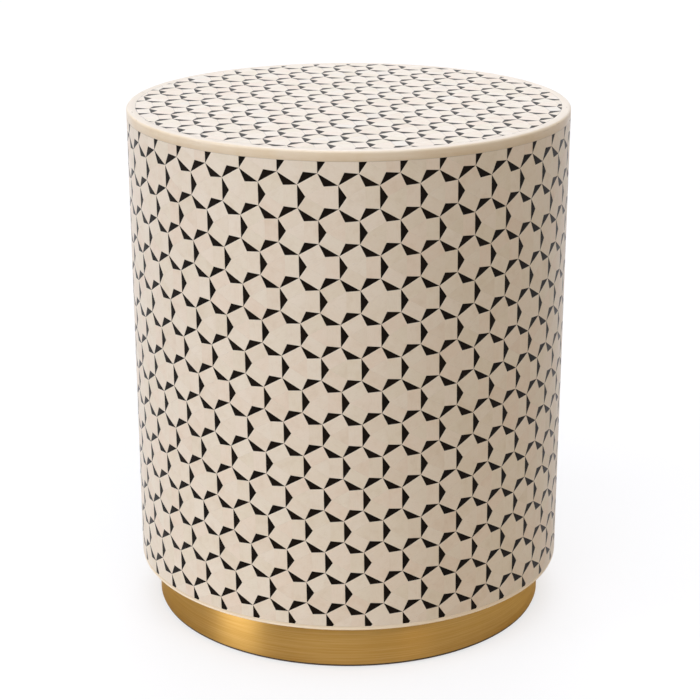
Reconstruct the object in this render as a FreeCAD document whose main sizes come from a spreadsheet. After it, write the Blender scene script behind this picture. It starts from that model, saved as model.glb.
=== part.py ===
# Round stool and side table: a bent-ply drum covered in bone and black mosaic, on a set-back brass plinth.
# Millimetres, +Z up. The origin is on the floor, under the middle of the drum. The front is towards -Y.
import FreeCAD, Part
import math
import os
import Sketcher

doc = FreeCAD.newDocument("drum_stool")

# Driving dimensions
SIZE_ROWS = [
    ("overall_height", 500, "floor to the top of the mosaic"),
    ("drum_radius", 210, "half of the drum's diameter, over the tiles"),
    ("tile_thickness", 2.5, "bone and black tiles, side and top"),
    ("wall_thickness", 6, "bent plywood shell behind the tiles"),
    ("board_thickness", 18, "top and bottom boards"),
    ("rim_band_height", 9.5, "cream band round the top edge, seen from the side"),
    ("rim_ease", 1.2, "bevel on the rim band's outer corner"),
    ("lower_band_height", 4, "thin cream band at the drum's foot"),
    ("hoop_thickness", 12, "board of the middle hoop"),
    ("hoop_width", 42, "middle hoop, from the wall to its inner flats"),
    ("hoop_sides", 8, "mitred lengths in the middle hoop"),
    ("upright_count", 4, "battens between the boards"),
    ("upright_depth", 30, "batten, measured towards the drum's axis"),
    ("upright_width", 20, "batten, measured along the wall"),
    ("notch_clearance", 0.2, "play of a batten in its notch"),
    ("plinth_height", 46.5, "plinth boards, from the pads to the bottom board"),
    ("plinth_width", 38, "plinth ring, from the brass to its inner flats"),
    ("plinth_segments", 8, "mitred lengths in the plinth ring"),
    ("brass_setback", 17, "brass band, in from the drum's face"),
    ("brass_thickness", 1, "brass sheet"),
    ("brass_lift", 2, "bare strip of plinth under the brass"),
    ("brass_seam", 0.5, "gap where the ends of the brass meet at the back"),
    ("pad_thickness", 2, "floor pads"),
    ("pad_width", 20, "square floor pads"),
    ("block_depth", 14, "glue blocks, from a mitre's inner corner towards the axis"),
    ("block_height", 40, "glue blocks, down from the bottom board"),
    ("tile_edge", 19.8, "edge of the mosaic's hexagons on the top"),
    ("tile_joint", 0.4, "resin joint between two tiles"),
    ("rim_saw_cuts", 48, "straight cuts that trim the top tiles along the rim band"),
]

# Turn and place of the top mosaic's grid, which isn't centred on the drum, and how far a black triangle
# reaches into its hexagon, as a share of the hexagon's edge
GRID_TURN_DEGREES = 10.5
GRID_SHIFT_X_SHARE = -0.01
GRID_SHIFT_Y_SHARE = -0.25
BLACK_DEPTH_SHARE = 0.345
LEAST_TILE_SHARE = 0.15

sheet = doc.addObject("Spreadsheet::Sheet", "Sizes")
for row, (alias, amount, note) in enumerate(SIZE_ROWS, start=1):
    sheet.set("A%d" % row, alias)
    sheet.set("B%d" % row, str(amount))
    sheet.setAlias("B%d" % row, alias)
    sheet.set("C%d" % row, note)
doc.recompute()

# Heights and radii that several pieces share, as expressions on the sheet
PLINTH_TOP = "(Sizes.pad_thickness + Sizes.plinth_height)"
FIELD_LOW = "(%s + Sizes.lower_band_height)" % PLINTH_TOP
FIELD_TOP = "(Sizes.overall_height - Sizes.rim_band_height)"
TILE_LOW = "(Sizes.overall_height - Sizes.tile_thickness)"
BOARD_LOW = "(%s - Sizes.board_thickness)" % TILE_LOW
FLOOR_HIGH = "(%s + Sizes.board_thickness)" % PLINTH_TOP
HOOP_LOW = "((%s + %s - Sizes.hoop_thickness) / 2)" % (FLOOR_HIGH, BOARD_LOW)
WALL_OUTER = "(Sizes.drum_radius - Sizes.tile_thickness)"
WALL_INNER = "(%s - Sizes.wall_thickness)" % WALL_OUTER
UPRIGHT_INNER = "(%s - Sizes.upright_depth)" % WALL_INNER
BRASS_OUTER = "(Sizes.drum_radius - Sizes.brass_setback)"
PLINTH_OUTER = "(%s - Sizes.brass_thickness)" % BRASS_OUTER
SEGMENT_ANGLE = "(360 / Sizes.plinth_segments)"
PLINTH_WINDOW = "((%s - Sizes.plinth_width) / cos(180deg / Sizes.plinth_segments))" % PLINTH_OUTER
AXIS = FreeCAD.Vector(0, 0, 1)


def number(expression):
    """The value of an expression on the sheet."""
    return float(sheet.evalExpression(expression))


def bind(thing, **expressions):
    """Tie an object's properties to the sheet. A double underscore stands for a dot."""
    for name, expression in expressions.items():
        thing.setExpression(name.replace("__", "."), expression)
    return thing


def primitive(kind, name, **expressions):
    """A Part primitive whose sizes follow the sheet."""
    return bind(doc.addObject("Part::" + kind, name), **expressions)


def turned(thing, angle):
    """Turn an object about the drum's axis by an expression in degrees."""
    thing.Placement.Rotation = FreeCAD.Rotation(AXIS, 0)
    thing.setExpression("Placement.Rotation.Angle", angle)
    return thing


def cut(label, base, tool):
    result = doc.addObject("Part::Cut", label)
    result.Base = base
    result.Tool = tool
    result.Label = label
    return result


def common(label, base, tool):
    result = doc.addObject("Part::Common", label)
    result.Base = base
    result.Tool = tool
    result.Label = label
    return result


def fuse(name, pieces):
    result = doc.addObject("Part::MultiFuse", name)
    result.Shapes = pieces
    return result


def group(label, pieces):
    """Separate solids that share one node."""
    result = doc.addObject("Part::Compound", label)
    result.Links = pieces
    result.Label = label
    return result


def origin_plane(body, role):
    return next(part for part in body.Origin.OriginFeatures if part.Role == role)


def circle_sketch(body, name, low, radii):
    """Circles round the drum's axis on the body's ground plane, raised to an expression, with radii that
    follow the sheet."""
    sketch = body.newObject("Sketcher::SketchObject", name)
    sketch.AttachmentSupport = [(origin_plane(body, "XY_Plane"), "")]
    sketch.MapMode = "FlatFace"
    sketch.setExpression("AttachmentOffset.Base.z", low)
    for radius in radii:
        circle = sketch.addGeometry(Part.Circle(FreeCAD.Vector(), AXIS, number(radius)), False)
        sketch.addConstraint(Sketcher.Constraint("Coincident", circle, 3, -1, 1))
        size = sketch.addConstraint(Sketcher.Constraint("Radius", circle, number(radius)))
        sketch.setExpression("Constraints[%d]" % size, radius)
    return sketch


def padded_body(label, low, high, radii):
    """A board or ring: one or two circles padded from one height to another."""
    body = doc.addObject("PartDesign::Body", label)
    body.Label = label
    outline = circle_sketch(body, label + "_outline", low, radii)
    pad = body.newObject("PartDesign::Pad", label + "_pad")
    pad.Profile = outline
    pad.setExpression("Length", "%s - %s" % (high, low))
    outline.Visibility = False
    body.Tip = pad
    return body


# Boards and drum wall
def make_top_board():
    return padded_body("top_board", BOARD_LOW, TILE_LOW, [WALL_INNER])


def make_bottom_board():
    return padded_body("bottom_board", PLINTH_TOP, FLOOR_HIGH, [WALL_INNER])


def make_wall(label, half):
    """Half of the bent shell. Its two ends meet the other half on the side uprights."""
    outside = primitive("Cylinder", label + "_outside", Radius=WALL_OUTER,
                        Height="%s - %s" % (FIELD_TOP, FIELD_LOW), Placement__Base__z=FIELD_LOW)
    outside.Angle = 180
    inside = primitive("Cylinder", label + "_inside", Radius=WALL_INNER,
                       Height="%s - %s" % (FIELD_TOP, FIELD_LOW), Placement__Base__z=FIELD_LOW)
    turned(outside, "180 * %d" % half)
    return cut(label, outside, inside)


def radial_box(name, angle, near, half_width, depth, low, height):
    """A box that points away from the drum's axis, from a near radius outwards."""
    corner_x = "%s * cos(%s * 1deg) + %s * sin(%s * 1deg)" % (near, angle, half_width, angle)
    corner_y = "%s * sin(%s * 1deg) - %s * cos(%s * 1deg)" % (near, angle, half_width, angle)
    box = primitive("Box", name, Length=depth, Width="2 * %s" % half_width, Height=height,
                    Placement__Base__x=corner_x, Placement__Base__y=corner_y, Placement__Base__z=low)
    return turned(box, angle)


def upright_blank(name, index, play, low, high):
    """The batten's box at its place on the circle, wider by the play on each side."""
    return radial_box(name, "360 / Sizes.upright_count * %d" % index, "(%s - %s)" % (UPRIGHT_INNER, play),
                      "(Sizes.upright_width / 2 + %s)" % play,
                      "Sizes.upright_depth + Sizes.wall_thickness + %s" % play, low, "%s - %s" % (high, low))


def make_upright(index):
    """A batten, planed round at the back to lie on the wall."""
    label = "upright_%d" % (index + 1)
    blank = upright_blank(label + "_blank", index, "0", FLOOR_HIGH, BOARD_LOW)
    bound = primitive("Cylinder", label + "_bound", Radius=WALL_INNER,
                      Height="%s - %s" % (BOARD_LOW, FLOOR_HIGH), Placement__Base__z=FLOOR_HIGH)
    return common(label, blank, bound)


def make_middle_hoop():
    """A ring of mitred boards, flat inside, with a notch for each batten."""
    ring_top = "(%s + Sizes.hoop_thickness)" % HOOP_LOW
    disc = primitive("Cylinder", "hoop_disc", Radius=WALL_INNER, Height="Sizes.hoop_thickness",
                     Placement__Base__z=HOOP_LOW)
    window = primitive("Prism", "hoop_window", Polygon="Sizes.hoop_sides", Height="Sizes.hoop_thickness",
                       Circumradius="(%s - Sizes.hoop_width) / cos(180deg / Sizes.hoop_sides)" % WALL_INNER,
                       Placement__Base__z=HOOP_LOW)
    turned(window, "180 / Sizes.hoop_sides")
    ring = cut("hoop_ring", disc, window)
    notches = [upright_blank("notch_%d" % (index + 1), index, "Sizes.notch_clearance", HOOP_LOW, ring_top)
               for index in range(int(number("Sizes.upright_count")))]
    return cut("middle_hoop", ring, fuse("notches", notches))


# Bands and tile layers
def make_side_tile_layer():
    return padded_body("side_tile_layer", FIELD_LOW, FIELD_TOP, ["Sizes.drum_radius", WALL_OUTER])


def make_lower_band():
    return padded_body("lower_band", PLINTH_TOP, FIELD_LOW, ["Sizes.drum_radius", WALL_INNER])


def make_rim_band():
    """The band that caps the drum's top corner, eased outside."""
    body = padded_body("rim_band", FIELD_TOP, "Sizes.overall_height", ["Sizes.drum_radius", WALL_INNER])
    doc.recompute()
    pad = body.Tip
    middle_height = number("(Sizes.overall_height + %s) / 2" % FIELD_TOP)
    middle_radius = number("(Sizes.drum_radius + %s) / 2" % WALL_INNER)
    edges = ["Edge%d" % (index + 1) for index, edge in enumerate(pad.Shape.Edges)
             if isinstance(edge.Curve, Part.Circle) and edge.Curve.Radius > middle_radius
             and edge.Curve.Center.z > middle_height]
    easing = body.newObject("PartDesign::Chamfer", "rim_easing")
    easing.Base = (pad, edges)
    easing.setExpression("Size", "Sizes.rim_ease")
    body.Tip = easing
    return body


def polar(radius, degrees):
    angle = math.radians(degrees)
    return FreeCAD.Vector(radius * math.cos(angle), radius * math.sin(angle), 0)


def tile_outlines(edge):
    """The tiles of one hexagon about its own centre: a black triangle on every second side, and the bone
    rosette that is left between them, three oblongs round a triangle."""
    inner = edge * (math.sqrt(3) / 2 - BLACK_DEPTH_SHARE)
    black = []
    rosette = []
    for side in (60, 180, 300):
        black.append([polar(edge, side - 30), polar(edge, side + 30), polar(inner, side)])
        rosette += [polar(inner, side), polar(edge, side + 30), polar(edge, side + 90)]
    return {"top_black_triangles": black, "top_bone_rosettes": [rosette]}


def drawn_in(outline, distance):
    """An outline with every side moved in by a distance."""
    result = []
    for index, corner in enumerate(outline):
        before = corner - outline[index - 1]
        after = outline[(index + 1) % len(outline)] - corner
        before.normalize()
        after.normalize()
        inward = AXIS.cross(before) + AXIS.cross(after)
        result.append(corner + inward * (distance / (1 + AXIS.cross(before).dot(AXIS.cross(after)))))
    return result


def slab(outline, thickness):
    """A flat-sided solid that stands on an outline."""
    return Part.Face(Part.makePolygon(outline + outline[:1])).extrude(AXIS * thickness)


def hexagon_centres(edge, reach):
    """Centres of the hexagons whose corners come within reach of the drum's axis."""
    width = edge * math.sqrt(3)
    pitch = edge * 3 / 2
    turn = FreeCAD.Rotation(AXIS, GRID_TURN_DEGREES)
    rows = int(reach / pitch) + 2
    columns = int(reach / width) + 2
    for row in range(-rows, rows + 1):
        for column in range(-columns, columns + 1):
            across = (column + GRID_SHIFT_X_SHARE + (row % 2) / 2) * width
            centre = turn.multVec(FreeCAD.Vector(across, (row + GRID_SHIFT_Y_SHARE) * pitch, 0))
            if centre.Length < reach + edge:
                yield centre


def make_top_tiles():
    """The top mosaic: every tile its own solid, cut off straight where it meets the rim band."""
    edge = number("Sizes.tile_edge")
    joint = number("Sizes.tile_joint")
    thickness = number("Sizes.tile_thickness")
    reach = number(WALL_INNER) - joint
    turn = FreeCAD.Rotation(AXIS, GRID_TURN_DEGREES)
    low = FreeCAD.Vector(0, 0, number(TILE_LOW))
    cuts = int(number("Sizes.rim_saw_cuts"))
    rim = [polar(reach, 360 / cuts * index) + low for index in range(cuts)]
    bound = slab(rim, thickness)
    safe_reach = reach * math.cos(math.pi / cuts)
    centres = list(hexagon_centres(edge, reach))
    nodes = []
    for label, outlines in tile_outlines(edge).items():
        tiles = []
        for outline in outlines:
            shape = [turn.multVec(corner) for corner in drawn_in(outline, joint / 2)]
            for centre in centres:
                corners = [corner + centre for corner in shape]
                if min(corner.Length for corner in corners) >= reach:
                    continue
                tile = slab([corner + low for corner in corners], thickness)
                if max(corner.Length for corner in corners) < safe_reach:
                    tiles.append(tile)
                    continue
                least = LEAST_TILE_SHARE * tile.Volume
                tiles += [piece for piece in tile.common(bound).Solids if piece.Volume > least]
        node = doc.addObject("Part::Feature", label)
        node.Shape = Part.makeCompound(tiles)
        node.Label = label
        nodes.append(node)
    return nodes


# Plinth
def plinth_window(name):
    """The eight-sided space inside the plinth ring."""
    return primitive("Prism", name, Polygon="Sizes.plinth_segments", Height="Sizes.plinth_height",
                     Circumradius=PLINTH_WINDOW, Placement__Base__z="Sizes.pad_thickness")


def make_plinth_segment(index):
    """One mitred length of the plinth ring, round outside and straight inside."""
    label = "plinth_segment_%d" % (index + 1)
    blank = primitive("Cylinder", label + "_blank", Radius=PLINTH_OUTER, Height="Sizes.plinth_height",
                      Angle=SEGMENT_ANGLE, Placement__Base__z="Sizes.pad_thickness")
    turned(blank, "%s * %d" % (SEGMENT_ANGLE, index))
    return cut(label, blank, plinth_window(label + "_window"))


def make_glue_block(index):
    """A three-cornered block glued into a mitre and under the bottom board."""
    label = "glue_block_%d" % (index + 1)
    half_width = "(Sizes.block_depth / tan(180deg / Sizes.plinth_segments))"
    stock = radial_box(label + "_stock", "%s * %d" % (SEGMENT_ANGLE, index),
                       "(%s - Sizes.block_depth)" % PLINTH_WINDOW, half_width, "Sizes.block_depth",
                       "(%s - Sizes.block_height)" % PLINTH_TOP, "Sizes.block_height")
    return common(label, stock, plinth_window(label + "_corner"))


def make_brass_band():
    """Brass sheet bent round the plinth, with the seam at the back."""
    open_angle = "Sizes.brass_seam / %s * 180 / pi" % BRASS_OUTER
    height = "Sizes.plinth_height - Sizes.brass_lift"
    low = "Sizes.pad_thickness + Sizes.brass_lift"
    outside = primitive("Cylinder", "brass_outside", Radius=BRASS_OUTER, Height=height,
                        Angle="360 - %s" % open_angle, Placement__Base__z=low)
    turned(outside, "90 + %s / 2" % open_angle)
    inside = primitive("Cylinder", "brass_inside", Radius=PLINTH_OUTER, Height=height, Placement__Base__z=low)
    return cut("brass_band", outside, inside)


def make_floor_pads():
    """A square pad under each mitre of the plinth, flush with its inner corner."""
    pads = [radial_box("pad_%d" % (index + 1), "%s * %d" % (SEGMENT_ANGLE, index), PLINTH_WINDOW,
                       "(Sizes.pad_width / 2)", "Sizes.pad_width", "0", "Sizes.pad_thickness")
            for index in range(int(number("Sizes.plinth_segments")))]
    return group("floor_pads", pads)


parts = [make_top_board(), make_bottom_board(), make_middle_hoop()]
parts += [make_upright(index) for index in range(int(number("Sizes.upright_count")))]
parts += [make_wall("back_wall", 0), make_wall("front_wall", 1)]
parts += [make_side_tile_layer(), make_rim_band(), make_lower_band()]
parts += make_top_tiles()
parts += [make_plinth_segment(index) for index in range(int(number("Sizes.plinth_segments")))]
parts += [make_glue_block(index) for index in range(int(number("Sizes.plinth_segments")))]
parts += [make_brass_band(), make_floor_pads()]

doc.recompute()
for thing in doc.Objects:
    if "Invalid" in thing.State or "Error" in thing.State:
        raise RuntimeError("%s did not recompute: %s" % (thing.Name, thing.State))
for part in parts:
    if part.Shape.isNull() or not part.Shape.isValid() or not part.Shape.Solids:
        raise RuntimeError("%s has no sound shape" % part.Label)

os.makedirs("parts", exist_ok=True)
for part in parts:
    part.Shape.exportStep(os.path.join("parts", part.Label + ".step"))
    print("%-24s solids %4d  volume %12.1f mm3" % (part.Label, len(part.Shape.Solids), part.Shape.Volume))
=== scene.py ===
# Round stool and side table: a bent-ply drum covered in bone and black mosaic, on a set-back brass plinth.
# Metres, +Z up, origin on the floor under the middle of the drum, front towards -Y. Everything new is placed
# from the sizes of the frame's own nodes.
import math
import random
import bmesh
import bpy
from mathutils import Matrix, Vector


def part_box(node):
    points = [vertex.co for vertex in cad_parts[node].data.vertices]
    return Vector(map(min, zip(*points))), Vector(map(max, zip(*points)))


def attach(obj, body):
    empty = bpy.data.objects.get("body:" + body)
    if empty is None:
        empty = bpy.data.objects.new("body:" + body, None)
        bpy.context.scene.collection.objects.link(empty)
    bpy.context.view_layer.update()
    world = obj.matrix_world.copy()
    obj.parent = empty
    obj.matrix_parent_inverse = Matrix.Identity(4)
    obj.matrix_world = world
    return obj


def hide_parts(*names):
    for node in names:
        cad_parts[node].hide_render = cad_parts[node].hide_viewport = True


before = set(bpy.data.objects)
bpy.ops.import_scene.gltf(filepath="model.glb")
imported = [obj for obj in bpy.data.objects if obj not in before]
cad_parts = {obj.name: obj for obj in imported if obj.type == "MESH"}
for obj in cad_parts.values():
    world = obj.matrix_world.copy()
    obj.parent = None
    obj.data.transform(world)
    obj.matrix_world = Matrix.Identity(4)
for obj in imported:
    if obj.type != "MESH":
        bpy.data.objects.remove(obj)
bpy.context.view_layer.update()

# Boards and plinth ring
# The drum's two round boards and the eight mitred lengths of the plinth are sealed fibreboard, sawn to the
# line and sanded. The plinth is stained dark, which is also a painted shade: its foot stands in for the
# shadow line under the brass.
MM = 0.001
NOISE_LOW = 0.3
NOISE_HIGH = 0.7
COLOUR_MIX_SOCKETS = (0, 6, 7)
COLOUR_MIX_RESULT = 2
PORE_SCALE = 2.1
PORE_EDGE = 0.06
CLOUD_SCALE = 95.0
CHIP_SCALE = 420.0
PATCH_SCALE = 18.0
CHIP_RELIEF = 0.2 * MM
BOARD_DARK = (0.30, 0.205, 0.125, 1)
BOARD_PALE = (0.47, 0.345, 0.225, 1)
BOARD_PATCH = (0.36, 0.25, 0.15, 1)
# Dark stain and painted shade at once: the plinth's foot stands in for the shadow under the brass.
STAIN_SHADE_DARK = (0.03, 0.018, 0.01, 1)
STAIN_SHADE_PALE = (0.065, 0.04, 0.022, 1)
STAIN_SHADE_PATCH = (0.04, 0.024, 0.013, 1)


def new_finish(name):
    """An empty finish: the material, its node tree and its shader."""
    material = bpy.data.materials.new(name)
    material.use_nodes = True
    tree = material.node_tree
    return material, tree, tree.nodes["Principled BSDF"]


def fill_sockets(tree, sockets, values):
    """Give each socket its value: a plain one, or a link from another socket."""
    for socket, value in zip(sockets, values):
        if isinstance(value, bpy.types.NodeSocket):
            tree.links.new(value, socket)
        else:
            socket.default_value = value


def add_node(tree, kind, inputs=(), **settings):
    """One shader node. Inputs hold plain values, or sockets to link from."""
    made = tree.nodes.new("ShaderNode" + kind)
    for name, value in settings.items():
        setattr(made, name, value)
    inputs = dict(inputs)
    fill_sockets(tree, [made.inputs[name] for name in inputs], inputs.values())
    return made


def calculate(tree, operation, *values):
    """The result of one sum on plain values and sockets."""
    return add_node(tree, "Math", enumerate(values), operation=operation).outputs["Value"]


def blend_colours(tree, amount, first, second):
    """The colour between two others, each a value or a socket."""
    made = add_node(tree, "Mix", data_type="RGBA")
    fill_sockets(tree, [made.inputs[index] for index in COLOUR_MIX_SOCKETS], (amount, first, second))
    return made.outputs[COLOUR_MIX_RESULT]


def remap(tree, value, low, high, to_low, to_high):
    """A value moved from one range to another, and kept inside it."""
    inputs = {"Value": value, "From Min": low, "From Max": high, "To Min": to_low, "To Max": to_high}
    return add_node(tree, "MapRange", inputs).outputs["Result"]


def lay_over(tree, tone, colour, value, start, full, most):
    """Lay a colour over a tone: none of it where the value is at start, its most where it is at full."""
    return blend_colours(tree, remap(tree, value, start, full, 0.0, most), tone, colour)


def noise_value(tree, place, scale, detail, roughness=0.5):
    """A noise texture's grey value. Most of it lies between NOISE_LOW and NOISE_HIGH."""
    inputs = {"Vector": place, "Scale": scale, "Detail": detail, "Roughness": roughness}
    return add_node(tree, "TexNoise", inputs).outputs["Fac"]


def vary_roughness(tree, shader, pattern, at_low, at_high):
    """Roughness that follows a noise."""
    tree.links.new(remap(tree, pattern, NOISE_LOW, NOISE_HIGH, at_low, at_high), shader.inputs["Roughness"])


def add_relief(tree, shader, pattern, strength, depth):
    """Fine relief that follows a noise."""
    bump = add_node(tree, "Bump", {"Strength": strength, "Distance": depth, "Height": pattern})
    tree.links.new(bump.outputs["Normal"], shader.inputs["Normal"])


def new_group(name, inputs, outputs):
    """A shader node group with named inputs and outputs."""
    tree = bpy.data.node_groups.new(name, "ShaderNodeTree")
    for socket_name, kind, value in inputs:
        socket = tree.interface.new_socket(socket_name, in_out="INPUT", socket_type="NodeSocket" + kind)
        if value is not None:
            socket.default_value = value
    for socket_name, kind in outputs:
        tree.interface.new_socket(socket_name, in_out="OUTPUT", socket_type="NodeSocket" + kind)
    return tree, tree.nodes.new("NodeGroupInput"), tree.nodes.new("NodeGroupOutput")


# Long fibres: streaks that run along the first axis of the pattern, with short dark pores among them
fibre_group, given, taken = new_group(
    "fibres",
    [("Vector", "Vector", None), ("Length", "Float", 20.0), ("Fineness", "Float", 900.0),
     ("Pore Share", "Float", 0.36)],
    [("Streaks", "Float"), ("Pores", "Float"), ("Clouds", "Float")])
along = add_node(fibre_group, "CombineXYZ", {"X": given.outputs["Length"], "Y": given.outputs["Fineness"],
                                             "Z": given.outputs["Fineness"]}).outputs["Vector"]
stretched = add_node(fibre_group, "VectorMath", {0: given.outputs["Vector"], 1: along},
                     operation="MULTIPLY").outputs["Vector"]
streaks = noise_value(fibre_group, stretched, 1.0, 4.0, 0.6)
pore_noise = noise_value(fibre_group, stretched, PORE_SCALE, 2.0)
pore_start = calculate(fibre_group, "SUBTRACT", given.outputs["Pore Share"], PORE_EDGE)
pores = remap(fibre_group, pore_noise, pore_start, given.outputs["Pore Share"], 1.0, 0.0)
clouds = noise_value(fibre_group, given.outputs["Vector"], CLOUD_SCALE, 3.0, 0.55)
for output, source in (("Streaks", streaks), ("Pores", pores), ("Clouds", clouds)):
    fibre_group.links.new(source, taken.inputs[output])


def place_fibres(tree, place, length, fineness, pore_share):
    """The outputs of a fibre group placed in a finish."""
    inputs = {"Vector": place, "Length": length, "Fineness": fineness, "Pore Share": pore_share}
    return add_node(tree, "Group", inputs, node_tree=fibre_group).outputs


def board_finish(name, dark, pale, patch):
    """Sanded fibreboard: pressed chips, with broad patches where the sealer soaked in."""
    material, tree, shader = new_finish(name)
    place = add_node(tree, "TexCoord").outputs["Object"]
    chips = noise_value(tree, place, CHIP_SCALE, 5.0, 0.7)
    patches = noise_value(tree, place, PATCH_SCALE, 2.0)
    tone = lay_over(tree, dark, pale, chips, 0.35, 0.65, 1.0)
    tone = lay_over(tree, tone, patch, patches, NOISE_LOW, NOISE_HIGH, 0.35)
    tree.links.new(tone, shader.inputs["Base Color"])
    vary_roughness(tree, shader, chips, 0.62, 0.82)
    add_relief(tree, shader, chips, 0.25, CHIP_RELIEF)
    return material


def give_finish(node, material):
    """Put a finish on one of the frame's own nodes."""
    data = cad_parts[node].data
    data.materials.clear()
    data.materials.append(material)


fibreboard = board_finish("sealed_fibreboard", BOARD_DARK, BOARD_PALE, BOARD_PATCH)
# The plinth's dark stain is also a painted shade for the shadow line under the brass.
stain_and_shade_board = board_finish("shade_stained_fibreboard", STAIN_SHADE_DARK, STAIN_SHADE_PALE, STAIN_SHADE_PATCH)
SEGMENTS = [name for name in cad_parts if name.startswith("plinth_segment")]
for name in ("top_board", "bottom_board"):
    give_finish(name, fibreboard)
for name in SEGMENTS:
    give_finish(name, stain_and_shade_board)

# Battens, hoop and shells
# Inside the drum, four planed softwood battens stand in the notches of a plywood hoop, and two half shells of
# bent plywood are glued and pinned on them. Glue blocks hold the plinth's mitres under the bottom board.
UPRIGHT_GRAIN = (0.0, math.radians(90), 0.0)
GRAIN_RELIEF = 0.2 * MM
SOFTWOOD_PALE = (0.72, 0.53, 0.33, 1)
SOFTWOOD_DARK = (0.5, 0.33, 0.18, 1)
PLYWOOD_PALE = (0.66, 0.5, 0.33, 1)
PLYWOOD_DARK = (0.47, 0.33, 0.2, 1)


def wood_finish(name, pale, dark):
    """Planed wood with its grain along the height."""
    material, tree, shader = new_finish(name)
    place = add_node(tree, "TexCoord").outputs["Object"]
    turned = add_node(tree, "Mapping", {"Vector": place, "Rotation": UPRIGHT_GRAIN}).outputs["Vector"]
    grain = place_fibres(tree, turned, 9.0, 260.0, 0.4)
    tone = blend_colours(tree, grain["Streaks"], dark, pale)
    tone = lay_over(tree, tone, dark, grain["Pores"], 0.0, 1.0, 0.3)
    tree.links.new(tone, shader.inputs["Base Color"])
    vary_roughness(tree, shader, grain["Streaks"], 0.7, 0.5)
    add_relief(tree, shader, grain["Streaks"], 0.3, GRAIN_RELIEF)
    return material


softwood = wood_finish("planed_softwood", SOFTWOOD_PALE, SOFTWOOD_DARK)
plywood = wood_finish("bent_plywood", PLYWOOD_PALE, PLYWOOD_DARK)
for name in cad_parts:
    if name.startswith(("upright", "glue_block")):
        give_finish(name, softwood)
for name in ("middle_hoop", "front_wall", "back_wall"):
    give_finish(name, plywood)

# Floor pads
# Square pads of ribbed black rubber are stuck under the plinth's mitres, and keep the brass off the floor.
# Their ribs are moulded into the lower face.
TOUCH = 1e-7
SAME_PLACE = 1e-6
EASE_STEPS = 2
CREASE = 30
PAD_WIDTH = 20 * MM
PAD_EASE = 0.35 * MM
PAD_RIB_PITCH = 3.0 * MM
PAD_RIB_DEPTH = 0.3 * MM
RUBBER_SPECKS = 900.0
RUBBER_DUST = 60.0
RUBBER_RELIEF = 0.1 * MM
RUBBER_BLACK = (0.018, 0.018, 0.018, 1)
RUBBER_DUSTY = (0.09, 0.085, 0.08, 1)


def cut_across(bm, place, direction, clear_outer=False):
    """Cut a whole mesh with a plane. What lies past it can be taken off."""
    return bmesh.ops.bisect_plane(bm, geom=bm.verts[:] + bm.edges[:] + bm.faces[:], dist=TOUCH,
                                  plane_co=place, plane_no=direction, clear_outer=clear_outer)


def round_edges(bm, edges, offset, steps, clamp=False):
    """Round a mesh's edges over."""
    bmesh.ops.bevel(bm, geom=edges, offset=offset, segments=steps, profile=0.5, affect="EDGES", material=-1,
                    clamp_overlap=clamp)


def into_piece(bm, name, material, replaced=(), crease=CREASE):
    """A finished mesh becomes a piece that rides with the drum."""
    mesh = bpy.data.meshes.new(name)
    bm.to_mesh(mesh)
    bm.free()
    mesh.materials.append(material)
    mesh.shade_smooth()
    mesh.set_sharp_from_angle(angle=math.radians(crease))
    piece = bpy.data.objects.new(name, mesh)
    bpy.context.scene.collection.objects.link(piece)
    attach(piece, "root")
    if replaced:
        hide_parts(*replaced)
    return piece


rubber, tree, shader = new_finish("pad_rubber")
place = add_node(tree, "TexCoord").outputs["Object"]
specks = noise_value(tree, place, RUBBER_SPECKS, 3.0)
dust = noise_value(tree, place, RUBBER_DUST, 4.0)
tree.links.new(lay_over(tree, RUBBER_BLACK, RUBBER_DUSTY, dust, 0.5, 0.75, 0.4), shader.inputs["Base Color"])
vary_roughness(tree, shader, dust, 0.62, 0.85)
add_relief(tree, shader, specks, 0.3, RUBBER_RELIEF)

pads_low, pads_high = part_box("floor_pads")
pad_height = pads_high.z - pads_low.z
pad_pitch = pads_high.x - PAD_WIDTH / 2
bm = bmesh.new()
bmesh.ops.create_cube(bm, size=1)
bmesh.ops.scale(bm, vec=(PAD_WIDTH, PAD_WIDTH, pad_height), verts=bm.verts)
for step in range(1, round(PAD_WIDTH / PAD_RIB_PITCH)):
    across = step * PAD_RIB_PITCH - PAD_WIDTH / 2
    for side in (-PAD_RIB_DEPTH, PAD_RIB_DEPTH, 0):
        cut_across(bm, (across + side, 0, 0), (1, 0, 0))
    for vert in bm.verts:
        if abs(vert.co.x - across) < SAME_PLACE and vert.co.z < 0:
            vert.co.z += PAD_RIB_DEPTH
upper = [edge for edge in bm.edges if edge.calc_face_angle(0) > 1 and min(v.co.z for v in edge.verts) > 0]
round_edges(bm, upper, PAD_EASE, EASE_STEPS)
bmesh.ops.translate(bm, verts=bm.verts, vec=(pad_pitch, 0, pads_low.z + pad_height / 2))
one_pad = bm.verts[:] + bm.edges[:] + bm.faces[:]
bmesh.ops.spin(bm, geom=one_pad, cent=(0, 0, 0), axis=(0, 0, 1), use_duplicate=True,
               angle=math.tau * (len(SEGMENTS) - 1) / len(SEGMENTS), steps=len(SEGMENTS) - 1)
bmesh.ops.recalc_face_normals(bm, faces=bm.faces)
into_piece(bm, "ribbed_floor_pads", rubber, ["floor_pads"])

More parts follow.
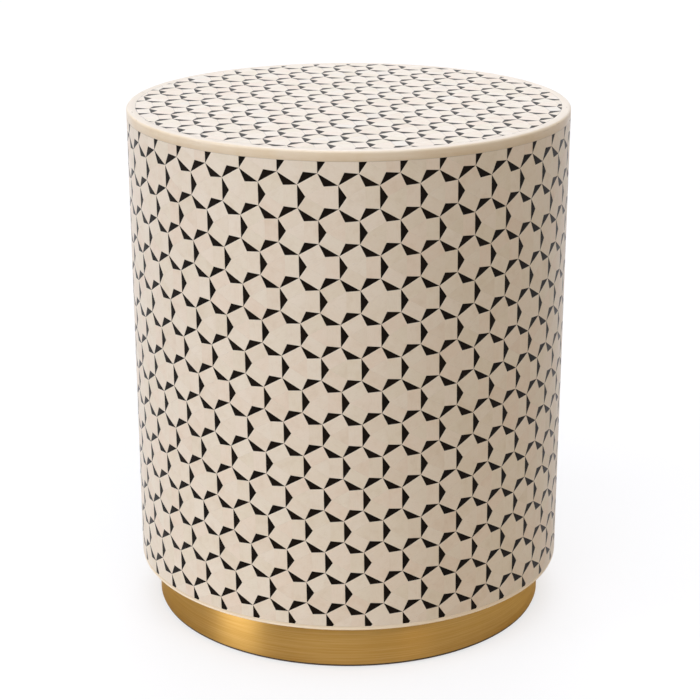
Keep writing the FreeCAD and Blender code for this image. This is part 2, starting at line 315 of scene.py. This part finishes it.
# Plinth screws
# Two low pan-head brass screws in the middle of each mitred length hold the plinth ring to the bottom board.
# Their heads stand on the ring's lower face, and each has a round drive in its crown.
SCREW_HEAD_RADIUS = 4.2 * MM
SCREW_HEAD_HEIGHT = 1.5 * MM
SCREW_SIDES = 28
SCREW_ROUND_SHARE = 0.8
SCREW_ROUND_STEPS = 5
SCREW_RIM_SHARE = 0.2
SCREW_DRIVE_DEPTH = 0.9 * MM
SCREW_SPREAD = math.radians(11)
PLINTH_AND_BRASS_WIDTH = 39 * MM
SCREW_PLATING = 700.0
SCREW_DARK = (0.50, 0.33, 0.11, 1)
SCREW_PALE = (0.66, 0.47, 0.19, 1)


def crown_face(bm):
    """The uppermost face. Of several at one level it is the one with the most corners."""
    return max(bm.faces, key=lambda face: (round(face.calc_center_median().z / TOUCH), len(face.verts)))


screw_brass, tree, shader = new_finish("screw_brass")
place = add_node(tree, "TexCoord").outputs["Object"]
plating = noise_value(tree, place, SCREW_PLATING, 3.0)
shader.inputs["Metallic"].default_value = 1.0
tree.links.new(blend_colours(tree, plating, SCREW_DARK, SCREW_PALE), shader.inputs["Base Color"])
vary_roughness(tree, shader, plating, 0.28, 0.45)

brass_low, brass_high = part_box("brass_band")
screw_pitch = brass_high.x - PLINTH_AND_BRASS_WIDTH / 2
bm = bmesh.new()
bmesh.ops.create_cone(bm, cap_ends=True, segments=SCREW_SIDES, radius1=SCREW_HEAD_RADIUS,
                      radius2=SCREW_HEAD_RADIUS, depth=SCREW_HEAD_HEIGHT)
round_edges(bm, crown_face(bm).edges[:], SCREW_HEAD_HEIGHT * SCREW_ROUND_SHARE, SCREW_ROUND_STEPS)
bmesh.ops.inset_region(bm, faces=[crown_face(bm)], thickness=SCREW_HEAD_RADIUS * SCREW_RIM_SHARE)
crown = crown_face(bm)
drive = bmesh.ops.extrude_face_region(bm, geom=[crown])
bmesh.ops.delete(bm, geom=[crown], context="FACES_ONLY")
drive_floor = [item for item in drive["geom"] if isinstance(item, bmesh.types.BMVert)]
bmesh.ops.translate(bm, verts=drive_floor, vec=(0, 0, -SCREW_DRIVE_DEPTH))
bmesh.ops.recalc_face_normals(bm, faces=bm.faces)
bmesh.ops.rotate(bm, verts=bm.verts, cent=(0, 0, 0), matrix=Matrix.Rotation(math.pi, 3, "X"))
bmesh.ops.translate(bm, verts=bm.verts, vec=(screw_pitch, 0, pads_high.z - SCREW_HEAD_HEIGHT / 2))
screw_head = bpy.data.meshes.new("screw_head")
bm.to_mesh(screw_head)
bm.clear()
for index in range(len(SEGMENTS)):
    middle = math.tau * (index + 0.5) / len(SEGMENTS)
    for angle in (middle - SCREW_SPREAD, middle + SCREW_SPREAD):
        turned = screw_head.copy()
        turned.transform(Matrix.Rotation(angle, 4, "Z"))
        bm.from_mesh(turned)
        bpy.data.meshes.remove(turned)
bpy.data.meshes.remove(screw_head)
into_piece(bm, "plinth_screws", screw_brass)

# Brass band
# Sheet brass, brushed along its length, bent round the plinth and butted at the back. Its edges are eased,
# and it is lacquered satin, so the lamps show on it as soft upright bands.
BRASS_THICKNESS = 1 * MM
BRASS_EASE = 0.3 * MM
BRASS_SEAM = 0.5 * MM
RING_STEPS = 518
RING_SLACK = 0.01 * MM
BRUSH_RELIEF = 0.03 * MM
BRASS_TONE = (0.42, 0.24, 0.056, 1)
BRASS_DARK = (0.33, 0.165, 0.033, 1)
BRASS_BRIGHT = (0.55, 0.35, 0.12, 1)
BRASS_LACQUER = 0.12
LACQUER_ROUGHNESS = 0.3
BRASS_SHEEN = (0.75, 0.6, 0.4, 1)
BRUSHED = 0.93
QUARTER_TURN = 0.25


def ring(inner, outer, low, high, opening=0.0):
    """A square-edged ring round the drum's axis. An opening leaves it parted at the back."""
    bm = bmesh.new()
    corners = [bm.verts.new(corner) for corner in ((inner, 0, low), (outer, 0, low), (outer, 0, high),
                                                   (inner, 0, high))]
    face = bm.faces.new(corners)
    start = Matrix.Rotation(math.pi / 2 + opening / 2, 3, "Z")
    bmesh.ops.rotate(bm, verts=bm.verts, cent=(0, 0, 0), matrix=start)
    if opening:
        bmesh.ops.spin(bm, geom=bm.verts[:] + bm.edges[:] + bm.faces[:], cent=(0, 0, 0), axis=(0, 0, 1),
                       angle=math.tau - opening, steps=RING_STEPS)
    else:
        bmesh.ops.delete(bm, geom=[face], context="FACES_ONLY")
        bmesh.ops.spin(bm, geom=bm.verts[:] + bm.edges[:], cent=(0, 0, 0), axis=(0, 0, 1), angle=math.tau,
                       steps=RING_STEPS, use_merge=True)
    bmesh.ops.recalc_face_normals(bm, faces=bm.faces)
    return bm


def ease_ring(bm, offset, steps, chosen):
    """Round the ring's long edges for which chosen(radius, height) holds."""
    edges = []
    for edge in bm.edges:
        first, second = edge.verts
        radius = math.hypot(first.co.x, first.co.y)
        same_radius = abs(radius - math.hypot(second.co.x, second.co.y)) < RING_SLACK
        if same_radius and abs(first.co.z - second.co.z) < RING_SLACK and chosen(radius, first.co.z):
            edges.append(edge)
    round_edges(bm, edges, offset, steps, clamp=True)


# Unrolls a place on the drum: arc length along the first axis, height along the second, depth along the third
unroll_group, given, taken = new_group("unroll", [("Radius", "Float", 0.2)], [("Vector", "Vector")])
place = add_node(unroll_group, "TexCoord").outputs["Object"]
axes = add_node(unroll_group, "SeparateXYZ", {"Vector": place}).outputs
front = calculate(unroll_group, "MULTIPLY", axes["Y"], -1.0)
angle = calculate(unroll_group, "ARCTAN2", axes["X"], front)
arc = calculate(unroll_group, "MULTIPLY", angle, given.outputs["Radius"])
squares = [calculate(unroll_group, "MULTIPLY", axis, axis) for axis in (axes["X"], axes["Y"])]
depth = calculate(unroll_group, "SQRT", calculate(unroll_group, "ADD", *squares))
unrolled = add_node(unroll_group, "CombineXYZ", {"X": arc, "Y": axes["Z"], "Z": depth}).outputs["Vector"]
unroll_group.links.new(unrolled, taken.inputs["Vector"])

brass_radius = brass_high.x
brass, tree, shader = new_finish("brushed_brass")
strip = add_node(tree, "Group", {"Radius": brass_radius}, node_tree=unroll_group).outputs["Vector"]
brushing = place_fibres(tree, strip, 12.0, 1100.0, 0.36)
smudges = place_fibres(tree, strip, 9.0, 30.0, 0.3)
tone = lay_over(tree, BRASS_TONE, BRASS_DARK, smudges["Streaks"], NOISE_LOW, NOISE_HIGH, 0.35)
tone = lay_over(tree, tone, BRASS_BRIGHT, brushing["Streaks"], 0.42, NOISE_HIGH, 0.6)
tone = lay_over(tree, tone, BRASS_DARK, brushing["Pores"], 0.0, 1.0, 0.45)
tree.links.new(tone, shader.inputs["Base Color"])
shader.inputs["Metallic"].default_value = 1.0
shader.inputs["Coat Weight"].default_value = BRASS_LACQUER
shader.inputs["Coat Roughness"].default_value = LACQUER_ROUGHNESS
shader.inputs["Specular Tint"].default_value = BRASS_SHEEN
shader.inputs["Anisotropic"].default_value = BRUSHED
shader.inputs["Anisotropic Rotation"].default_value = QUARTER_TURN
tangent = add_node(tree, "Tangent", direction_type="RADIAL", axis="Z")
tree.links.new(tangent.outputs["Tangent"], shader.inputs["Tangent"])
vary_roughness(tree, shader, brushing["Streaks"], 0.39, 0.46)
add_relief(tree, shader, brushing["Streaks"], 0.1, BRUSH_RELIEF)

bm = ring(brass_radius - BRASS_THICKNESS, brass_radius, brass_low.z, brass_high.z, BRASS_SEAM / brass_radius)
ease_ring(bm, BRASS_EASE, EASE_STEPS, lambda radius, height: radius > brass_radius - BRASS_THICKNESS / 2)
into_piece(bm, "brass_band_brushed", brass, ["brass_band"])

# Cream bands
# A band of polished cream resin caps the drum's top corner and is rounded over, and a thin strip of the same
# trims the foot of the mosaic. Both are glued on and sanded flush with the tiles.
WALL_STACK = 8.5 * MM
RIM_ROUND = 2.4 * MM
RIM_ROUND_STEPS = 6
RIM_INNER_EASE = 0.25 * MM
STRIP_EASE = 0.6 * MM
STRIP_EASE_STEPS = 4
STRIP_HIGHLIGHT_HEIGHT = 1.9 * MM
RIM_HIGHLIGHT_DEPTH = 0.25 * MM
HIGHLIGHT_BLEND = 0.5 * MM
CREAM_RELIEF = 0.1 * MM
HAZE_SCALE = 14.0
CREAM_TONE = (0.74, 0.60, 0.42, 1)
CREAM_PALE = (0.805, 0.705, 0.575, 1)
CREAM_DEEP = (0.67, 0.51, 0.33, 1)
# The last two tones are painted highlights: a paler lower edge on the strip, a whiter top face on the rim.
CREAM_EDGE_HIGHLIGHT = (0.92, 0.80, 0.635, 1)
CREAM_TOP_HIGHLIGHT = (0.74, 0.645, 0.535, 1)

rim_low, rim_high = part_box("rim_band")
strip_low, strip_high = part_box("lower_band")
drum_radius = rim_high.x
rim_inner = drum_radius - WALL_STACK


def cream_finish(name, highlight_tone, full_height, no_height):
    """Clouded cream resin that turns paler between two heights: a painted highlight."""
    material, tree, shader = new_finish(name)
    strip = add_node(tree, "Group", {"Radius": drum_radius}, node_tree=unroll_group).outputs["Vector"]
    swirl = place_fibres(tree, strip, 22.0, 240.0, 0.3)
    place = add_node(tree, "TexCoord").outputs["Object"]
    haze = noise_value(tree, place, HAZE_SCALE, 2.0)
    height = add_node(tree, "SeparateXYZ", {"Vector": place}).outputs["Z"]
    tone = lay_over(tree, CREAM_TONE, CREAM_PALE, haze, 0.35, 0.65, 0.8)
    tone = lay_over(tree, tone, CREAM_DEEP, swirl["Streaks"], 0.4, 0.75, 0.45)
    tone = lay_over(tree, tone, CREAM_PALE, swirl["Clouds"], 0.35, 0.7, 0.3)
    tone = lay_over(tree, tone, highlight_tone, height, no_height, full_height, 1.0)
    tree.links.new(tone, shader.inputs["Base Color"])
    vary_roughness(tree, shader, swirl["Streaks"], 0.26, 0.38)
    shader.inputs["Specular IOR Level"].default_value = 0.3
    add_relief(tree, shader, swirl["Clouds"], 0.08, CREAM_RELIEF)
    return material


# Painted highlight: the rim's top face and upper rounding are given a whiter cream, for the light they catch.
rim_highlight_height = rim_high.z - RIM_HIGHLIGHT_DEPTH
rim_cream = cream_finish("polished_cream_rim", CREAM_TOP_HIGHLIGHT, rim_highlight_height, rim_highlight_height - HIGHLIGHT_BLEND)
# Painted highlight: the strip's lower edge is given a paler cream, for the light it catches from the floor.
strip_highlight_height = strip_low.z + STRIP_HIGHLIGHT_HEIGHT
strip_cream = cream_finish("polished_cream_strip", CREAM_EDGE_HIGHLIGHT, strip_highlight_height, strip_highlight_height + HIGHLIGHT_BLEND)

bm = ring(rim_inner, drum_radius, rim_low.z, rim_high.z)
ease_ring(bm, RIM_ROUND, RIM_ROUND_STEPS,
          lambda radius, height: radius > drum_radius - MM and height > rim_high.z - MM)
ease_ring(bm, RIM_INNER_EASE, EASE_STEPS,
          lambda radius, height: radius < rim_inner + MM / 2 and height > rim_high.z - MM)
ease_ring(bm, RIM_INNER_EASE, EASE_STEPS,
          lambda radius, height: radius > drum_radius - MM / 10 and height < rim_low.z + MM)
into_piece(bm, "rim_band_rounded", rim_cream, ["rim_band"])

bm = ring(rim_inner, drum_radius, strip_low.z, strip_high.z)
ease_ring(bm, STRIP_EASE, STRIP_EASE_STEPS,
          lambda radius, height: radius > drum_radius - MM and height < strip_low.z + MM)
ease_ring(bm, RIM_INNER_EASE, EASE_STEPS,
          lambda radius, height: radius > drum_radius - MM and height > strip_high.z - MM)
into_piece(bm, "lower_band_eased", strip_cream, ["lower_band"])

# Side mosaic
# Each hexagon of the mosaic is three black triangles and a bone rosette of three oblongs round a triangle.
# The tiles are cut from 2.5 mm bone and black horn, bedded in pale resin, then sanded flush and polished.
TILE_THICKNESS = 2.5 * MM
TILE_JOINT = {"bone": 0.3 * MM, "black": 0.01 * MM}
TILE_EASE = 0.14 * MM
TILE_CREASE = 15
BLACK_DEPTH_SHARE = 0.345
BLACK_SIDES = (60, 180, 300)
MOST_TILES = 4
LEAST_FACE = 0.5 * MM * MM
LEAST_BREADTH = 0.5 * MM
FACES_UP = 0.9
BED_GAP = 0.06 * MM
SIDE_COLUMNS = 37
ROW_PITCH = 31.15 * MM
FIRST_COLUMN_ANGLE = 0.057
SIDE_LEAN_ANGLE = -0.030
STRIPS = 7
SIDE_BONE_SEED = 11
SIDE_BLACK_SEED = 12

side_low, side_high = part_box("side_tile_layer")
side_rows = math.ceil((side_high.z - side_low.z) / ROW_PITCH) + 1
column_pitch = math.tau * drum_radius / SIDE_COLUMNS
side_edge = column_pitch / math.sqrt(3)
row_stretch = ROW_PITCH / (side_edge * 1.5)


def polar(radius, degrees):
    """A point at a distance and a direction from the middle."""
    return Vector((radius * math.cos(math.radians(degrees)), radius * math.sin(math.radians(degrees)), 0))


def tile_outlines(edge):
    """The tiles of one hexagon, about its own centre."""
    inner = edge * (math.sqrt(3) / 2 - BLACK_DEPTH_SHARE)
    black = []
    bone = [[polar(inner, side) for side in BLACK_SIDES]]
    for side in BLACK_SIDES:
        black.append([polar(edge, side - 30), polar(edge, side + 30), polar(inner, side)])
        bone.append([polar(edge, side + 30), polar(edge, side + 90), polar(inner, side + 120),
                     polar(inner, side)])
    return {"black": black, "bone": bone}


def flat_tiles(outlines, stretch):
    """Flat faces for one hexagon's tiles, each with a map that runs along its first side."""
    bm = bmesh.new()
    number = bm.faces.layers.int.new("tile_number")
    grain_map = bm.loops.layers.uv.new("grain")
    for index, outline in enumerate(outlines):
        face = bm.faces.new([bm.verts.new((corner.x, corner.y * stretch, 0)) for corner in outline])
        face[number] = index
        along = (outline[1] - outline[0]).normalized()
        for loop in face.loops:
            offset = loop.vert.co - outline[0]
            loop[grain_map].uv = (offset.dot(along), along.cross(offset).z)
    return bm


def breadth(face):
    """About how broad a face is at its narrowest: a thin sliver has nearly none."""
    return 2 * face.calc_area() / face.calc_perimeter()


def cut_tiles(bm, joint):
    """Draw flat faces in for the joints, ease their rims and give them their thickness."""
    ring_faces = bmesh.ops.inset_individual(bm, faces=bm.faces[:], thickness=joint / 2, use_even_offset=True,
                                            use_interpolate=True)["faces"]
    bmesh.ops.delete(bm, geom=ring_faces, context="FACES")
    bm.normal_update()
    folded = [face for face in bm.faces
              if face.normal.z < FACES_UP or face.calc_area() < LEAST_FACE or breadth(face) < LEAST_BREADTH]
    bmesh.ops.delete(bm, geom=folded, context="FACES")
    bmesh.ops.inset_individual(bm, faces=bm.faces[:], thickness=TILE_EASE, depth=TILE_EASE / 2,
                               use_even_offset=True, use_interpolate=True)
    bmesh.ops.translate(bm, verts=bm.verts, vec=(0, 0, -TILE_EASE / 2))
    rims = [edge for edge in bm.edges if edge.is_boundary]
    sides = bmesh.ops.extrude_edge_only(bm, edges=rims)["geom"]
    lower = [item for item in sides if isinstance(item, bmesh.types.BMVert)]
    bmesh.ops.translate(bm, verts=lower, vec=(0, 0, BED_GAP - TILE_THICKNESS))
    bmesh.ops.holes_fill(bm, edges=[edge for edge in bm.edges if edge.is_boundary], sides=0)
    bmesh.ops.recalc_face_normals(bm, faces=bm.faces)


def side_hexagon(kind):
    """The tiles of one kind in a side hexagon, cut into upright strips so that they can follow the drum."""
    bm = flat_tiles(tile_outlines(side_edge)[kind], row_stretch)
    cut_tiles(bm, TILE_JOINT[kind])
    for strip in range(1, STRIPS):
        cut_across(bm, (column_pitch * (strip / STRIPS - 0.5), 0, 0), (1, 0, 0))
    mesh = bpy.data.meshes.new("side_hexagon")
    bm.to_mesh(mesh)
    bm.free()
    return mesh


def lay_hexagon(bm, mesh, place, chance):
    """Add one hexagon at its place. Each tile gets its own tint, and its own stretch of grain."""
    first = len(bm.faces)
    laid = mesh.copy()
    laid.transform(Matrix.Translation(place))
    bm.from_mesh(laid)
    bpy.data.meshes.remove(laid)
    number = bm.faces.layers.int["tile_number"]
    tint = bm.faces.layers.float_vector.get("tile_tint") or bm.faces.layers.float_vector.new("tile_tint")
    grain_map = bm.loops.layers.uv["grain"]
    bm.faces.ensure_lookup_table()
    tints = [Vector([chance.random() for axis in range(3)]) for tile in range(MOST_TILES)]
    shifts = [Vector((chance.random(), chance.random())) for tile in range(MOST_TILES)]
    for index in range(first, len(bm.faces)):
        face = bm.faces[index]
        face[tint] = tints[face[number]]
        for loop in face.loops:
            loop[grain_map].uv += shifts[face[number]]


def wrap_round_drum(bm):
    """Bend a flat field round the drum: across becomes the arc, up stays up and the front faces outwards. The
    tiler's upright lines lean a little."""
    for vert in bm.verts:
        height_share = (vert.co.y - side_low.z) / (side_high.z - side_low.z) - 0.5
        angle = vert.co.x / drum_radius + SIDE_LEAN_ANGLE * height_share
        radius = drum_radius + vert.co.z
        vert.co = (radius * math.sin(angle), -radius * math.cos(angle), vert.co.y)


def side_mosaic(kind, seed):
    """All side tiles of one kind, bent round the drum and trimmed by the bands above and below."""
    chance = random.Random(seed)
    hexagon = side_hexagon(kind)
    bm = bmesh.new()
    for row in range(side_rows):
        shift = FIRST_COLUMN_ANGLE + (0 if row % 2 else math.pi / SIDE_COLUMNS)
        for column in range(SIDE_COLUMNS):
            across = drum_radius * shift + column * column_pitch
            lay_hexagon(bm, hexagon, (across, side_high.z - row * ROW_PITCH, 0), chance)
    for level, outward in ((side_high.z - TILE_JOINT[kind] / 2, 1), (side_low.z + TILE_JOINT[kind] / 2, -1)):
        cut = cut_across(bm, (0, level, 0), (0, outward, 0), clear_outer=True)
        cut_edges = [item for item in cut["geom_cut"] if isinstance(item, bmesh.types.BMEdge)]
        bmesh.ops.holes_fill(bm, edges=cut_edges, sides=0)
    wrap_round_drum(bm)
    bpy.data.meshes.remove(hexagon)
    return bm


# Bone: each tile has a tint of its own between pinkish, plain and greenish, fine fibres and short pores
BONE_PLAIN = (0.76, 0.665, 0.555, 1)
BONE_PINK = (0.765, 0.64, 0.53, 1)
BONE_GREEN = (0.735, 0.655, 0.53, 1)
BONE_PALE = (0.80, 0.735, 0.645, 1)
BONE_DEEP = (0.60, 0.49, 0.37, 1)
BONE_COOL = (0.70, 0.68, 0.64, 1)
BONE_RELIEF = 0.05 * MM
HORN_BLACK = (0.0035, 0.002, 0.001, 1)
HORN_BROWN = (0.009, 0.005, 0.0025, 1)
HORN_STREAK = (0.018, 0.011, 0.006, 1)


def tile_chances(tree):
    """The three random values that each tile carries."""
    tint = add_node(tree, "Attribute", attribute_name="tile_tint").outputs["Vector"]
    return add_node(tree, "SeparateXYZ", {"Vector": tint}).outputs


def tile_fibres(tree, length, fineness, pore_share):
    """Fibres that run along each tile's own first side."""
    grain_place = add_node(tree, "UVMap", uv_map="grain").outputs["UV"]
    return place_fibres(tree, grain_place, length, fineness, pore_share)


def bone_finish(name, cool_share):
    """Polished bone. A share of the tiles can be cool and grey, as on the top."""
    material, tree, shader = new_finish(name)
    hue, lightness, rarity = tile_chances(tree)
    fibres = tile_fibres(tree, 160.0, 1400.0, 0.37)
    tone = lay_over(tree, BONE_PLAIN, BONE_PINK, hue, 0.5, 1.0, 0.85)
    tone = lay_over(tree, tone, BONE_GREEN, hue, 0.5, 0.0, 0.85)
    tone = lay_over(tree, tone, BONE_PALE, lightness, 0.45, 1.0, 0.45)
    tone = lay_over(tree, tone, BONE_DEEP, lightness, 0.25, 0.0, 0.18)
    tone = lay_over(tree, tone, BONE_PALE, fibres["Clouds"], 0.4, 0.7, 0.35)
    tone = lay_over(tree, tone, BONE_DEEP, fibres["Clouds"], 0.45, 0.25, 0.25)
    tone = lay_over(tree, tone, BONE_DEEP, fibres["Streaks"], 0.5, 0.75, 0.3)
    tone = lay_over(tree, tone, BONE_DEEP, fibres["Pores"], 0.0, 1.0, 0.35)
    if cool_share:
        tone = lay_over(tree, tone, BONE_COOL, rarity, 1 - cool_share, 1 - cool_share / 2, 0.3)
    tree.links.new(tone, shader.inputs["Base Color"])
    vary_roughness(tree, shader, fibres["Streaks"], 0.3, 0.42)
    shader.inputs["Specular IOR Level"].default_value = 0.25
    add_relief(tree, shader, fibres["Streaks"], 0.12, BONE_RELIEF)
    return material


horn, tree, shader = new_finish("black_horn")
lightness = tile_chances(tree)["X"]
fibres = tile_fibres(tree, 120.0, 1200.0, 0.35)
tone = lay_over(tree, HORN_BLACK, HORN_BROWN, lightness, 0.0, 1.0, 0.8)
tone = lay_over(tree, tone, HORN_STREAK, fibres["Streaks"], 0.5, 0.8, 0.6)
tree.links.new(tone, shader.inputs["Base Color"])
vary_roughness(tree, shader, fibres["Clouds"], 0.26, 0.4)
shader.inputs["Specular IOR Level"].default_value = 0.05

side_bone = bone_finish("bone_side", 0.0)
bm = side_mosaic("bone", SIDE_BONE_SEED)
into_piece(bm, "side_bone_tiles", side_bone, ["side_tile_layer"], TILE_CREASE)
bm = side_mosaic("black", SIDE_BLACK_SEED)
into_piece(bm, "side_black_tiles", horn, ["side_tile_layer"], TILE_CREASE)

# Top mosaic
# The same tiling on the flat top, a little finer, turned by ten degrees and not centred. The tiles along the
# rim are cut to the curve of the band.
TOP_EDGE = 19.8 * MM
TOP_TURN = math.radians(10.5)
TOP_SHIFT_X_SHARE = -0.01
TOP_SHIFT_Y_SHARE = -0.25
TOP_COOL_SHARE = 0.1
RIM_CUTS = 180
LEAST_TILE_AREA = 3 * MM * MM
LEAST_EDGE = 0.3 * MM
TOP_BONE_SEED = 21
TOP_BLACK_SEED = 22


def top_mosaic(kind, seed):
    """All top tiles of one kind, cut along the rim before they get their joints."""
    chance = random.Random(seed)
    width = TOP_EDGE * math.sqrt(3)
    pitch = TOP_EDGE * 1.5
    count = int(rim_inner / pitch) + 2
    one = flat_tiles(tile_outlines(TOP_EDGE)[kind], 1.0)
    hexagon = bpy.data.meshes.new("top_hexagon")
    one.to_mesh(hexagon)
    one.free()
    bm = bmesh.new()
    turn = Matrix.Rotation(TOP_TURN, 3, "Z")
    for row in range(-count, count + 1):
        for column in range(-count, count + 1):
            place = Vector(((column + TOP_SHIFT_X_SHARE + (row % 2) / 2) * width,
                            (row + TOP_SHIFT_Y_SHARE) * pitch, 0))
            if place.length < rim_inner + TOP_EDGE:
                lay_hexagon(bm, hexagon, place, chance)
    bpy.data.meshes.remove(hexagon)
    bmesh.ops.rotate(bm, verts=bm.verts, cent=(0, 0, 0), matrix=turn)
    reach = rim_inner - TILE_JOINT[kind] / 2
    for step in range(RIM_CUTS):
        outward = Vector((math.cos(math.tau * step / RIM_CUTS), math.sin(math.tau * step / RIM_CUTS), 0))
        outside = [vert for vert in bm.verts if vert.co.dot(outward) > reach]
        faces = {face for vert in outside for face in vert.link_faces}
        edges = {edge for face in faces for edge in face.edges}
        verts = {vert for face in faces for vert in face.verts}
        bmesh.ops.bisect_plane(bm, geom=[*verts, *edges, *faces], dist=TOUCH, plane_co=outward * reach,
                               plane_no=outward, clear_outer=True)
    slivers = [face for face in bm.faces if face.calc_area() < LEAST_TILE_AREA]
    bmesh.ops.delete(bm, geom=slivers, context="FACES")
    bmesh.ops.dissolve_degenerate(bm, dist=LEAST_EDGE, edges=bm.edges)
    cut_tiles(bm, TILE_JOINT[kind])
    bmesh.ops.translate(bm, verts=bm.verts, vec=(0, 0, rim_high.z))
    return bm


top_bone = bone_finish("bone_top", TOP_COOL_SHARE)
bm = top_mosaic("bone", TOP_BONE_SEED)
into_piece(bm, "top_bone_tiles", top_bone, ["top_bone_rosettes"], TILE_CREASE)
bm = top_mosaic("black", TOP_BLACK_SEED)
into_piece(bm, "top_black_tiles", horn, ["top_black_triangles"], TILE_CREASE)

# Resin bed
# The tiles are bedded in a pale grey resin, poured over the shells and the top board. It fills the joints to
# a hair below the polished faces, and has greyed a little in places.
RESIN_RECESS = 0.07 * MM
GRIME_SCALE = 45.0
RESIN_PALE = (0.46, 0.42, 0.395, 1)
RESIN_GRIMY = (0.33, 0.30, 0.285, 1)
resin, tree, shader = new_finish("joint_resin")
place = add_node(tree, "TexCoord").outputs["Object"]
grime = noise_value(tree, place, GRIME_SCALE, 4.0, 0.6)
tree.links.new(lay_over(tree, RESIN_PALE, RESIN_GRIMY, grime, 0.35, 0.7, 0.7), shader.inputs["Base Color"])
vary_roughness(tree, shader, grime, 0.4, 0.55)
bm = ring(drum_radius - TILE_THICKNESS, drum_radius - RESIN_RECESS, side_low.z, side_high.z)
into_piece(bm, "side_joint_resin", resin, ["side_tile_layer"])
bm = bmesh.new()
bmesh.ops.create_cone(bm, cap_ends=True, segments=RING_STEPS // 2, radius1=rim_inner, radius2=rim_inner,
                      depth=TILE_THICKNESS - RESIN_RECESS)
bmesh.ops.translate(bm, verts=bm.verts, vec=(0, 0, rim_high.z - (TILE_THICKNESS + RESIN_RECESS) / 2))
into_piece(bm, "top_joint_resin", resin, ["top_bone_rosettes", "top_black_triangles"])

# Floor, lamps and camera
# A plain white studio: the stool stands on a white sweep under a broad overhead lamp, with soft lamps in
# front, at the left and behind, and a small warm one at the right. The floor sends warm light back up.
FLOOR_SIZE = 60.0
FLOOR_NEAR = 0.4
FLOOR_FAR = 1.2
FLOOR_NEAR_BOUNCE = (0.41, 0.30, 0.158, 1)
FLOOR_FAR_BOUNCE = (0.22, 0.162, 0.086, 1)
FLOOR_SHOWN = (0.95, 0.93, 0.92, 1)
FLOOR_GLOW_SHARE = 0.68
WORLD_LIGHT = (0.215, 0.183, 0.135, 1)
WHITE = (1, 1, 1, 1)


def shown_rays(tree):
    """1 for the camera's rays, and for rays that metal or glass turn or let through."""
    seen = add_node(tree, "LightPath").outputs
    seen_or_mirrored = calculate(tree, "MAXIMUM", seen["Is Camera Ray"], seen["Is Glossy Ray"])
    return calculate(tree, "MAXIMUM", seen_or_mirrored, seen["Is Transmission Ray"])


floor_finish, tree, shader = new_finish("white_floor")
place = add_node(tree, "TexCoord").outputs["Object"]
distance = add_node(tree, "VectorMath", {0: place}, operation="LENGTH").outputs["Value"]
bounce = lay_over(tree, FLOOR_NEAR_BOUNCE, FLOOR_FAR_BOUNCE, distance, FLOOR_NEAR, FLOOR_FAR, 1.0)
tree.links.new(blend_colours(tree, shown_rays(tree), bounce, FLOOR_SHOWN), shader.inputs["Base Color"])
shader.inputs["Roughness"].default_value = 0.9
shader.inputs["Specular IOR Level"].default_value = 0.0
glow = add_node(tree, "Emission", {"Color": WHITE, "Strength": 1.0}).outputs["Emission"]
seen = add_node(tree, "LightPath").outputs["Is Camera Ray"]
mixed = add_node(tree, "MixShader", {"Fac": remap(tree, seen, 0.0, 1.0, 0.0, FLOOR_GLOW_SHARE)})
tree.links.new(shader.outputs["BSDF"], mixed.inputs[1])
tree.links.new(glow, mixed.inputs[2])
tree.links.new(mixed.outputs["Shader"], tree.nodes["Material Output"].inputs["Surface"])
bm = bmesh.new()
bmesh.ops.create_grid(bm, x_segments=1, y_segments=1, size=FLOOR_SIZE / 2)
floor_mesh = bpy.data.meshes.new("floor")
bm.to_mesh(floor_mesh)
bm.free()
floor_mesh.materials.append(floor_finish)
floor = bpy.data.objects.new("floor", floor_mesh)
bpy.context.scene.collection.objects.link(floor)

world = bpy.data.worlds.new("studio")
bpy.context.scene.world = world
world.use_nodes = True
sky = world.node_tree.nodes["Background"]
world.node_tree.links.new(blend_colours(world.node_tree, shown_rays(world.node_tree), WORLD_LIGHT, WHITE),
                          sky.inputs["Color"])


def soft_sun(name, azimuth, elevation, share, softness, colour):
    """A broad lamp far off. The share is the brightness that it alone gives a white surface facing it."""
    lamp = bpy.data.lights.new(name, "SUN")
    lamp.energy = share * math.pi
    lamp.color = colour
    lamp.angle = math.radians(softness)
    thing = bpy.data.objects.new(name, lamp)
    bpy.context.scene.collection.objects.link(thing)
    turned = math.radians(azimuth)
    raised = math.radians(elevation)
    outward = math.cos(raised)
    towards = Vector((math.sin(turned) * outward, -math.cos(turned) * outward, math.sin(raised)))
    thing.rotation_euler = towards.to_track_quat("Z", "Y").to_euler()


soft_sun("overhead_softbox", 0, 88, 0.45, 70, (0.92, 1.03, 1.24))
soft_sun("front_softbox", -9, 48, 0.35, 50, (0.95, 1.0, 1.10))
soft_sun("left_softbox", -66, 9, 0.53, 28, (0.95, 0.99, 1.08))
soft_sun("right_softbox", 41, 36, 0.10, 13, (1.0, 0.82, 0.6))
soft_sun("back_softbox", 180, 50, 0.20, 30, (0.97, 1.0, 1.10))

CAMERA_DISTANCE = 1.8187
CAMERA_HEIGHT = 0.86216
CAMERA_ACROSS = 0.0013
CAMERA_PITCH = 0.3445
CAMERA_LENS = 99.4
CAMERA_SENSOR = 36
CAMERA_SHIFT = 0.0571
camera_data = bpy.data.cameras.new("camera")
camera_data.lens = CAMERA_LENS
camera_data.sensor_width = CAMERA_SENSOR
camera_data.shift_y = CAMERA_SHIFT
camera = bpy.data.objects.new("camera", camera_data)
bpy.context.scene.collection.objects.link(camera)
camera.location = (CAMERA_ACROSS, -CAMERA_DISTANCE, CAMERA_HEIGHT)
camera.rotation_euler = (math.pi / 2 - CAMERA_PITCH, 0, 0)
bpy.context.scene.camera = camera
bpy.context.scene.view_settings.view_transform = "Standard"
